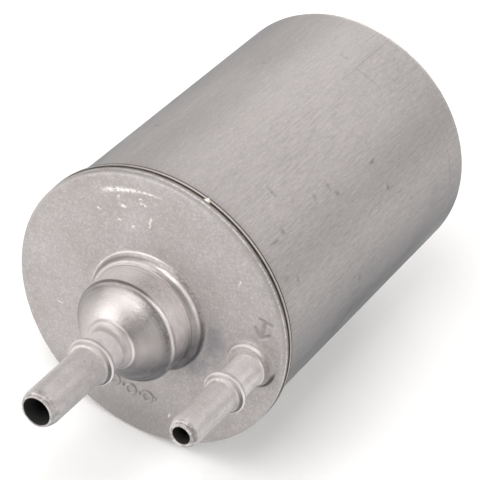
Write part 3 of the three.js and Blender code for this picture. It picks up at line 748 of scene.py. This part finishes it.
def can_shift(x, y, z):
    """A drawn can isn't a perfect cylinder: slight waves and small knocks in the wall."""
    r = math.hypot(x, z)
    depth = y - FACE_Y
    if r < 30 or depth < WAVY_FROM or depth > WAVY_TO:
        return (x, y, z)
    a = math.atan2(z, x)
    fade = smooth((depth - WAVY_FROM) / 8) * smooth((WAVY_TO - depth) / 8)
    push = 0.020 * ripple(x / 16, y / 30, z / 16) + 0.003 * ripple(x / 5, y / 9, z / 5)
    for angle, at, size, deep in CAN_KNOCKS:
        push -= hollow(math.hypot(angle_between(a, math.radians(angle)) * r, depth - at), size, deep)
    k = (r + push * fade) / r
    return (x * k, y, z * k)


def build_can():
    """The lip, the wall and the closed end with its collar, and a plain inside."""
    outer = rounded([
        (CAN_INSIDE_R, LIP_FRONT, 0), (LIP_R, LIP_FRONT, 0.15), (LIP_R, LIP_REAR, 0.28),
        (CAN_R, LIP_REAR, 0.3), (CAN_R, END_Y, CAN_CORNER), (8.4, END_Y, 1.2), (7.0, END_Y + 0.7, 0.8),
        (6.0, END_Y + 1.2, 0.5), (6.0, END_Y + 1.8, 0.4), (5.2, END_Y + 2.5, 0.3), (4.5, END_Y + 2.5, 0.1),
    ], steps=7)
    inner = rounded([
        (4.5, END_Y + 2.5, 0), (4.5, END_Y - CAN_END_WALL, 0.2), (CAN_INSIDE_R, END_Y - CAN_END_WALL, 1.6),
        (CAN_INSIDE_R, LIP_FRONT, 0),
    ], steps=5)
    outline = densify(outer, 1.1) + densify(inner, 4.0)[1:-1]
    verts, faces = revolve(outline, even_angles(300), can_shift)
    return place(make_object("can_shell", verts, faces, 50), CAN_METAL, "brushed_aluminium", "can")


build_can()


# ---------------------------------------- cover with the regulator housing

DENTS = [   # x, z, radius and depth of small dents in the face
    (-3.8, 29.4, 0.9, 0.10), (12.1, 23.2, 0.7, 0.08), (-14.0, 24.5, 0.6, 0.06), (2.0, -31.0, 0.7, 0.07),
    (-24.0, 6.0, 0.8, 0.06), (-22.5, -13.0, 0.6, 0.05), (20.5, 26.0, 0.7, 0.05), (17.5, -24.0, 0.6, 0.06),
]


def segment_distance(p, a, b):
    ab, ap = b - a, p - a
    t = max(0.0, min(1.0, ap.dot(ab) / ab.length_squared))
    return (ap - ab * t).length


def rotated(u, v, origin, angle):
    c, s = math.cos(angle), math.sin(angle)
    return Vector((origin[0] + u * c - v * s, origin[1] + u * s + v * c))


# A stamped arrow beside the side spout, pointing at it, and a row of plain raised marks below the housing.
ARROW_AT, ARROW_TURN = (29.9, 10.5), math.radians(-96)
ARROW = [((-2.5, -1.5), (-2.5, 1.5)), ((-2.5, 0.0), (2.1, 0.0)), ((2.3, 0.0), (0.5, 1.9)),
         ((2.3, 0.0), (0.5, -1.9))]
ARROW_LINES = [(rotated(*a, ARROW_AT, ARROW_TURN), rotated(*b, ARROW_AT, ARROW_TURN)) for a, b in ARROW]
ARROW_DEPTH = 0.22
ROW_RADIUS = 25.0
ROW_ANGLES = [-104.0, -98.5, -93.0, -87.5, -82.0, -77.0]
ROW_RING = 1.3               # radius of every second mark, which is a ring; the others are dots
ROW_HEIGHT = 0.42


def stamped(x, z):
    """Height of the marks stamped in or raised on the face, and how dark they are coloured."""
    point = Vector((x, z))
    if (point - Vector(ARROW_AT)).length < 5:
        pressed = smooth((0.62 - min(segment_distance(point, a, b) for a, b in ARROW_LINES)) / 0.30)
        return -ARROW_DEPTH * pressed, pressed
    r, a = math.hypot(x, z), math.degrees(math.atan2(z, x))
    if abs(r - ROW_RADIUS) >= 3.0 or not -108 < a < -75:
        return 0.0, 0.0
    away = 9.0
    for i, at in enumerate(ROW_ANGLES):
        from_middle = math.hypot(math.radians(a - at) * r, r - ROW_RADIUS)
        away = min(away, abs(from_middle - (0.0 if i % 2 else ROW_RING)))
    raised = smooth((0.58 - away) / 0.34)
    return ROW_HEIGHT * raised, 0.9 * (4 * raised * (1 - raised)) ** 0.7   # darkest on their sloping sides


COLLAR_RIM = [   # distance from the collar's middle, and height
    (0.0, 3.0), (5.05, 3.0), (5.25, 2.25), (5.42, 1.88), (5.56, 1.50), (5.66, 1.05), (5.76, 0.55),
    (5.90, 0.22), (6.15, 0.08), (6.6, 0.0),
]
COLLAR_TOP, COLLAR_DISH = 1.78, 0.72   # height of the top's edge, and how much it rises towards the spout


def collar_height(x, z):
    """The collar pressed up round the side spout: a dished top inside a rolled rim."""
    d = math.hypot(x - COLLAR_X, z)
    if d >= COLLAR_RIM[-1][0]:
        return 0.0
    k = next(i for i, point in enumerate(COLLAR_RIM) if point[0] > d)
    (d0, h0), (d1, h1) = COLLAR_RIM[k - 1], COLLAR_RIM[k]
    rim = lerp(h0, h1, (d - d0) / (d1 - d0))
    t = max(0.0, min(1.0, (5.7 - math.hypot(x - INLET_X, z)) / 1.4))
    return min(rim, COLLAR_TOP + COLLAR_DISH * t * t)


def cover_shift(x, y, z):
    """Lifts the collar and the marks, and makes the face slightly uneven and the rim slightly ragged."""
    r = math.hypot(x, z)
    h = FACE_Y - y
    if h < -2.9 or r < FLAT_IN:
        return (x, y, z)
    if r > FLAT_OUT + 0.02:
        k = 1 - 0.0014 * (0.5 + ripple(x / 2.2, z / 2.2, 5.0)) * smooth((1.2 + h) / 1.0)
        x, z = x * k, z * k
    if h < -0.9:
        return (x, y, z)
    edge = smooth((RIM_R + 0.05 - r) / 0.9)
    wave = 0.05 * ripple(x / 9, z / 9, 3.0) + 0.014 * ripple(x / 1.6, z / 1.6, 9.0)
    wave -= 0.033 * smooth(1 - abs(r - 30.5) / 5)      # a shallow trough near the rim
    marks = stamped(x, z)[0] - sum(hollow(math.hypot(x - dx, z - dz), size, deep)
                                   for dx, dz, size, deep in DENTS)
    raised = collar_height(x, z) + marks + wave * smooth((r - FLAT_IN) / 0.8)
    return (x, y - raised * edge, z)


def build_cover():
    """Turned from an outline of (radius, height): the housing from its neck outwards, plate, rim, inside."""
    neck = [(4.96, 16.0), (4.96, 18.4)]
    flare = [(5.03, 17.7), (5.13, 17.2), (5.32, 16.8), (5.60, 16.52), (5.88, 16.37), (6.10, 16.27),
             (6.27, 16.16)]
    fillet = [(6.42, 16.00), (6.56, 15.84), (6.72, 15.71), (6.92, 15.59), (7.16, 15.45), (7.45, 15.28)]
    dome = arc(0.96, 3.2, 13.7, 60.5, 36.0, 18)
    valley = [(12.20, 11.02), (12.32, 10.80), (12.50, 10.58), (12.72, 10.36)]
    shoulder = arc(12.62, 9.55, 0.82, 66, 3, 7)
    wall = [(13.46, 8.6), (13.49, 7.2), (13.52, 6.0), (13.55, 4.8), (13.59, 3.6), (13.61, 3.0), (13.64, 2.72)]
    crease = [(13.68, 2.55), (13.78, 2.44), (13.95, 2.42)]
    ring = [(14.25, 2.36), (14.52, 2.24), (14.76, 2.06), (14.96, 1.80), (15.12, 1.48), (15.26, 1.14),
            (15.40, 0.82)]
    foot = [(15.56, 0.54), (15.74, 0.33), (15.94, 0.18), (16.2, 0.08), (16.5, 0.03), (FLAT_IN, 0.0)]
    housing = neck + flare + fillet + dome + valley + shoulder + wall + crease + ring + foot
    plate, r = [], FLAT_IN
    while r < FLAT_OUT - 0.19:
        r += 0.19 if r > 22.0 else 0.45      # finer where the marks and the collar are
        plate.append((r, 0.0))
    rim = arc(RIM_R - 0.8, -0.8, 0.8, 88, 0, 9)
    back = [(RIM_R, -1.2), (RIM_R, -1.6), (RIM_R, -2.2), (RIM_R, -2.62), (RIM_R - 0.13, -2.77),
            (RIM_R - 0.6, -2.8)]
    bore = [(14.0, -2.8), (14.0, -8.2), (11.6, -8.2), (11.6, -6.9), (12.5, -6.9), (12.5, -5.3), (11.6, -5.3),
            (11.6, 8.5)]
    inner_dome = arc(0.96, 3.2, 11.9, 26.6, 70.2, 8)[1:]
    profile = [(r, FACE_Y - h) for r, h in housing + plate + rim + back + bore + inner_dome]
    near_spout, near_row = (-16, 30), (-109, -74)
    verts, faces = revolve(profile, angles_with([near_spout, near_row], 0.42, 1.2), cover_shift)
    obj = make_object("cover_plate", verts, faces, 42)
    dark = [0.0] * len(obj.data.vertices)
    for v in obj.data.vertices:
        x, y, z = (c / MM for c in v.co)
        if abs(y - FACE_Y) < 0.6 and FLAT_IN < math.hypot(x, z) < FLAT_OUT:
            dark[v.index] = stamped(x, z)[1]
    obj.data.attributes.new("stamp", "FLOAT", "POINT").data.foreach_set("value", dark)
    return place(obj, COVER_METAL, "blasted_aluminium", "front_cover")


build_cover()


# ---------------------------------------- weld

def build_weld():
    """A rippled bead lying in the groove, with one larger nugget where the weld run starts and stops."""
    rings, sides = 720, 10
    verts = []
    for a in even_angles(rings):
        rough = 0.035 * math.sin(a * 150) + 0.03 * ripple(math.cos(a) * 9, math.sin(a) * 9, 1)
        lump = smooth(1 - abs(angle_between(a, NUGGET_ANGLE)) * RIM_R)
        half_width = 0.13 + rough * 0.3 + 0.55 * lump
        half_height = 0.17 + rough * 0.6 + 0.36 * lump
        middle_y = FACE_Y + SEAM_DEPTH + 0.45 * lump
        for u in even_angles(sides):
            r = RIM_R - 0.22 + half_height * math.cos(u)
            verts.append((r * math.cos(a), middle_y + half_width * math.sin(u), r * math.sin(a)))
    bead = make_object("weld_bead", verts, ring_faces(rings, sides), 60)
    return place(bead, WELD_METAL, "weld_metal", "weld_seam")


build_weld()


# ---------------------------------------- spouts

def spout_outline(tube, bore, neck, bead, bead_low, bead_high, height, nose, foot):
    """Outline of (radius, height above the face) from the tip along the outside and back through the bore."""
    outside = rounded([
        (bore, height, 0), (nose - 0.05, height, 0.22), (nose, height - 0.45, 0.12),
        (nose - 0.06, height - 0.62, 0.08), (nose + 0.30, height - 0.85, 0.25),
        (tube - 0.02, height - 2.2, 1.4), (tube, height - 5, 0), (tube, bead_high + 0.48, 0.12),
        (tube + 0.50, bead_high + 0.28, 0.16), (tube + 0.82, bead_high - 0.28, 0.4),
        (bead - 0.08, bead_high - 0.66, 0.18), (bead, bead_high - 1.00, 0.25),
        (bead, bead_low + 0.40, 0.35), (bead - 0.5, bead_low, 0.35), (neck + 0.25, bead_low - 0.35, 0.5),
        (neck, bead_low - 1.2, 0.5), (neck, foot["root"], 0.0),
    ], steps=5)
    inside = [(neck, foot["root"]), (neck, foot["top"]), (foot["radius"], foot["top"]),
              (foot["radius"], foot["bottom"]), (neck, foot["bottom"]), (neck, foot["snout"]),
              (bore, foot["snout"]), (bore, height - 0.35), (bore + 0.1, height)]
    return densify(outside, 0.9) + densify(inside, 2.5)[1:-1]


def tumbled(strength, seed):
    """Tiny dents all over, as parts get in a tumbling barrel."""
    def shift(x, y, z):
        p = Vector((x, y, z)) / 1.7
        d = strength * noise.noise(p + Vector((seed, 0, 0))) + strength * 0.5 * noise.noise(p * 2.4)
        return (x + d * 0.6, y, z + d * 0.6)
    return shift


def build_spout(name, node, face, sign, centre_x, size, foot, seed):
    """A spout standing off a face, towards -Y or +Y as the sign says."""
    profile = [(r, face + sign * h) for r, h in spout_outline(**size, foot=foot)]
    verts, faces = revolve(profile, even_angles(96), tumbled(0.035, seed), centre_x)
    return place(make_object(name, verts, faces, 40), SPOUT_METAL, "turned_aluminium", node)


SMALL = dict(tube=3.945, bore=2.32, neck=4.15, bead=5.4, bead_low=12.05, bead_high=13.95, height=31.8,
             nose=3.15)
LARGE = dict(tube=4.745, bore=3.56, neck=4.93, bead=6.15, bead_low=23.25, bead_high=25.15, height=46.1,
             nose=4.12)

build_spout("inlet_tube", "inlet_spout", FACE_Y, -1, INLET_X, SMALL,
            dict(root=2.4, top=-3.1, radius=4.65, bottom=-4.1, snout=-5.0), 3)
build_spout("return_tube", "return_spout", FACE_Y, -1, 0.0, LARGE,
            dict(root=16.0, top=13.0, radius=7.0, bottom=10.3, snout=10.0), 11)
build_spout("outlet_tube", "outlet_spout", END_Y, 1, 0.0, SMALL,
            dict(root=2.4, top=-1.8, radius=8.0, bottom=-3.2, snout=-7.0), 23)


# ---------------------------------------- the diaphragm and the main spring, which change shape as the valve lifts; built here in one shape

DIAPHRAGM_SECTORS = 16
DIAPHRAGM_IN, DIAPHRAGM_OUT = 2.4, 10.6
DIAPHRAGM_DEPTH, DIAPHRAGM_THICK = 2.05, 0.4     # its front side behind the face
CLAMPED_R, HELD_R = 7.5, 5.3   # the cups hold the diaphragm beyond the first, the valve within the second


def build_diaphragm():
    """The diaphragm in sectors, each running outwards from the valve to the clamped rim."""
    half = math.pi / DIAPHRAGM_SECTORS
    last, steps = 28, 4
    radii = [lerp(DIAPHRAGM_IN, DIAPHRAGM_OUT, i / last) for i in range(last + 1)]

    def at(j, i, side):
        return (j * len(radii) + i) * 2 + side

    faces = [[at(j, i, s), at(j, i + 1, s), at(j + 1, i + 1, s), at(j + 1, i, s)]
             for j in range(steps) for i in range(last) for s in (0, 1)]
    faces += [[at(j, i, 0), at(j + 1, i, 0), at(j + 1, i, 1), at(j, i, 1)]
              for j in range(steps) for i in (0, last)]
    faces += [[at(j, i, 0), at(j, i, 1), at(j, i + 1, 1), at(j, i + 1, 0)]
              for j in (0, steps) for i in range(last)]

    for k in range(DIAPHRAGM_SECTORS):
        middle = 2 * half * (k + 0.5)
        verts = []
        for j in range(steps + 1):
            a = middle + (half - 0.003) * (2 * j / steps - 1)
            for r in radii:
                front = FACE_Y + DIAPHRAGM_DEPTH - 0.3 * smooth(1 - abs(r - 6.5) / 0.95)   # one rolled wave
                verts += [(r * math.cos(a), y, r * math.sin(a)) for y in (front, front + DIAPHRAGM_THICK)]
        obj = make_object(f"diaphragm_sector_{k + 1:02d}", verts, faces)
        place(obj, RUBBER, "black_rubber", "regulator_diaphragm", body=None)
        y = (FACE_Y + DIAPHRAGM_DEPTH + DIAPHRAGM_THICK / 2) * MM
        ends = [(r * math.cos(middle) * MM, y, r * math.sin(middle) * MM)
                for r in (CLAMPED_R * math.cos(half), HELD_R)]
        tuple(ends[0])
        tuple(ends[1])
        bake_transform(obj)


def build_regulator_spring():
    """The main spring, built in one shape; in the filter it shortens towards its fixed end by the valve's
    lift.
    """
    radius, wire, low, high, turns = 5.0, 0.55, 0.1, 6.3, 4.5
    steps, sides = 140, 12
    verts = []
    for i in range(steps + 1):
        a = 2 * math.pi * turns * i / steps
        y = FACE_Y - lerp(low, high, i / steps)
        for u in even_angles(sides):
            r = radius + wire * math.cos(u)
            verts.append((r * math.cos(a), y - wire * math.sin(u), r * math.sin(a)))
    faces = ring_faces(steps + 1, sides, closed=False)
    faces += [list(range(sides)), list(range(steps * sides, (steps + 1) * sides))]
    spring = make_object("regulator_spring_coil", verts, faces, 50)
    place(spring, SPRING_STEEL, "spring_steel", "regulator_spring")
    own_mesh(spring)


build_diaphragm()
build_regulator_spring()


# ---------------------------------------- CAD nodes that keep their shape

INNER = {
    "filter_media": PAPER, "centre_tube": NYLON, "element_spacer": NYLON, "regulator_strainer": NYLON,
    "front_end_disc": STEEL, "rear_end_disc": STEEL, "regulator_upper_cup": STEEL,
    "regulator_lower_cup": STEEL, "regulator_valve_seat": STEEL, "regulator_spring_seat": STEEL,
    "regulator_ball": STEEL,
    "regulator_ball_cage": STEEL, "regulator_clamp_ring": STEEL,
    "regulator_ball_spring": SPRING_STEEL, "retaining_ring": SPRING_STEEL,
    "regulator_body_seal": RUBBER, "regulator_outlet_seal": RUBBER, "outlet_seal": RUBBER,
}
for node, material in INNER.items():
    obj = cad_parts[node]
    obj.data.materials.clear()
    obj.data.materials.append(material)


# ---------------------------------------- floor, light and camera

def floor_material():
    """Plain pale floor, with a little light of its own to keep it white."""
    m = Nodes("studio_floor", Roughness=0.75, Specular_IOR_Level=0.2, Emission_Color=(1, 1, 1, 1),
              Emission_Strength=0.16)
    m.set("Base Color", m.mix(m.noise(3, detail=2, rough=0.55), (0.95, 0.95, 0.95, 1), (0.97, 0.97, 0.97, 1)))
    return m.material


def build_floor():
    half, z = 3.0, -LIP_R * MM - 0.0002      # metres
    mesh = bpy.data.meshes.new("floor")
    mesh.from_pydata([(-half, -half, z), (half, -half, z), (half, half, z), (-half, half, z)], [],
                     [(0, 1, 2, 3)])
    obj = bpy.data.objects.new("floor", mesh)
    scene.collection.objects.link(obj)
    mesh.materials.append(floor_material())


build_floor()

# Azimuth 0 is in front of the cover, 90 on the inlet spout's side.
LIGHTS = [   # name, azimuth and elevation in degrees, watts, size in metres
    ("key_left_front", 325, 12, 3.9, 0.55), ("top_front", 355, 62, 5.0, 0.6),
    ("left_high", 292, 38, 1.7, 0.5), ("back_low", 190, 10, 5.2, 0.5), ("back_left", 205, 42, 1.0, 0.5),
    ("back_right", 152, 34, 1.5, 0.5), ("right_high", 92, 40, 2.5, 0.7), ("right_front", 52, 14, 1.1, 0.25),
]


def studio_light(name, azimuth, elevation, power, size):
    """A softbox one metre from the filter, turned towards it."""
    a, e = math.radians(azimuth), math.radians(elevation)
    data = bpy.data.lights.new(name, "AREA")
    data.shape = "RECTANGLE"
    data.size = data.size_y = size
    data.energy = power
    data.color = (1.0, 0.985, 0.965)
    obj = bpy.data.objects.new(name, data)
    obj.location = Vector((math.sin(a) * math.cos(e), -math.cos(a) * math.cos(e), math.sin(e)))
    obj.rotation_euler = (-obj.location).to_track_quat("-Z", "Y").to_euler()
    scene.collection.objects.link(obj)


for light in LIGHTS:
    studio_light(*light)


def build_world():
    """A plain pale room, brighter above and to the left, dimmer low on the right."""
    world = bpy.data.worlds.new("studio")
    world.use_nodes = True
    scene.world = world
    tree = world.node_tree
    where = tree.nodes.new("ShaderNodeTexCoord")
    dot = tree.nodes.new("ShaderNodeVectorMath")
    dot.operation = "DOT_PRODUCT"
    dot.inputs[1].default_value = Vector((-0.85, -0.10, 0.50)).normalized()   # towards the brightest side
    ramp = tree.nodes.new("ShaderNodeMapRange")
    ramp.interpolation_type = "SMOOTHSTEP"
    for key, number in (("From Min", -0.75), ("From Max", 0.85), ("To Min", 0.03), ("To Max", 0.12)):
        ramp.inputs[key].default_value = number
    background = tree.nodes["Background"]
    background.inputs["Color"].default_value = (1.0, 0.99, 0.98, 1)
    tree.links.new(where.outputs["Generated"], dot.inputs[0])
    tree.links.new(dot.outputs["Value"], ramp.inputs["Value"])
    tree.links.new(ramp.outputs["Result"], background.inputs["Strength"])


build_world()

# The camera as fitted to the photo: its place in metres, and its own right and backward directions.
CAMERA_AT = (0.1989, -0.4404, 0.3552)
right = Vector((0.849, 0.5078, 0.1456)).normalized()
back = Vector((0.3321, -0.7274, 0.6005)).normalized()
up = back.cross(right).normalized()
right = up.cross(back)
camera_data = bpy.data.cameras.new("camera")
camera_data.lens = 180.0
camera_data.sensor_width = 36.0
camera_data.clip_start, camera_data.clip_end = 0.05, 20.0
camera = bpy.data.objects.new("camera", camera_data)
camera.matrix_world = Matrix.Translation(CAMERA_AT) @ Matrix((right, up, back)).transposed().to_4x4()
scene.collection.objects.link(camera)
scene.camera = camera

scene.view_settings.view_transform = "Standard"
scene.view_settings.exposure = 0.08
